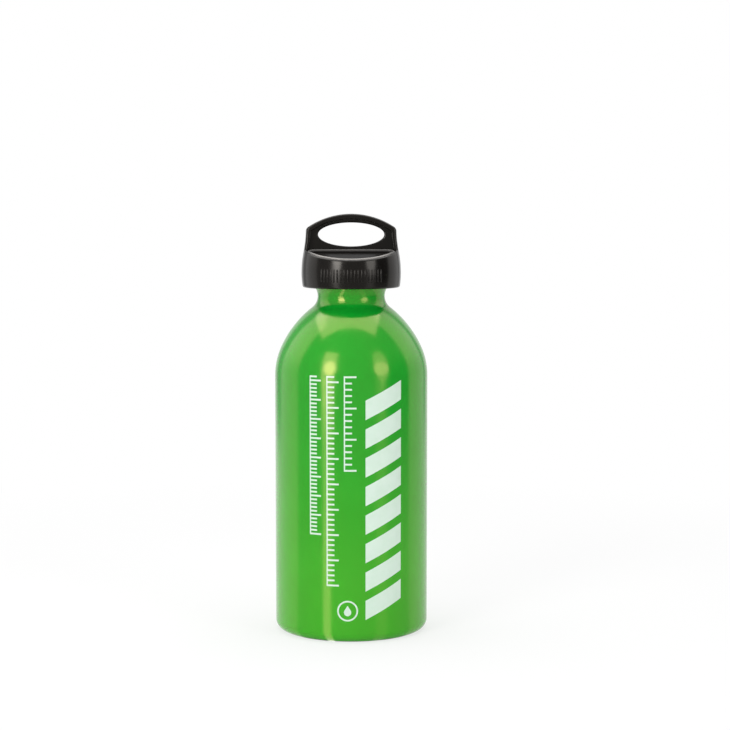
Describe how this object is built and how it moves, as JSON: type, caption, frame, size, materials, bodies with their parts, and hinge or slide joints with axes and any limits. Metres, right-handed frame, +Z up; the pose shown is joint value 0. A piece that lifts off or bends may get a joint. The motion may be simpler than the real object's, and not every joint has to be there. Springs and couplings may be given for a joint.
{
  "type": "camping fuel bottle",
  "caption": "Round aluminium fuel bottle with domed shoulder and waisted neck, closed by a push-and-turn screw cap with an arched carrying handle.",
  "frame": {"origin": "centre of the foot ring's resting plane, on the bottle's axis", "axes": "+Z up along the bottle's axis, X along the handle of the cap, -Y towards the front that the picture shows"},
  "size_m": [0.074, 0.074, 0.2025],
  "materials": {
    "lacquered_aluminium": "gloss",
    "seal_rubber": "matte",
    "plug_plastic": "matte",
    "spring_steel": "satin",
    "cap_plastic": "satin"
  },
  "bodies": {
    "bottle": {"bottle_shell": "lacquered_aluminium"},
    "seal": {"mouth_seal": "seal_rubber"},
    "plug": {"threaded_plug": "plug_plastic"},
    "spring": {"return_spring": "spring_steel"},
    "cap": {"outer_cap": "cap_plastic"}
  },
  "joints": [
    {"name": "cap_rise", "type": "slide", "parent": "bottle", "child": "seal", "axis": [0, 0, 1], "range_m": [0, 0.013]},
    {"name": "cap_turn", "type": "hinge", "parent": "seal", "child": "plug", "pos_m": [0, 0, 0.17], "axis": [0, 0, 1], "range_deg": [0, 1170.5]},
    {"name": "cap_spin", "type": "hinge", "parent": "plug", "child": "spring", "pos_m": [0, 0, 0.17], "axis": [0, 0, 1], "continuous": true},
    {"name": "cap_press", "type": "slide", "parent": "spring", "child": "cap", "axis": [0, 0, -1], "range_m": [0, 0.0015], "stiffness_N_per_m": 3900, "springref_m": -0.003, "deforming": ["return_spring"]}
  ],
  "couplings": [
    {"joint": "cap_turn", "follows": "cap_rise", "rad_per_m": 1570.8}
  ]
}
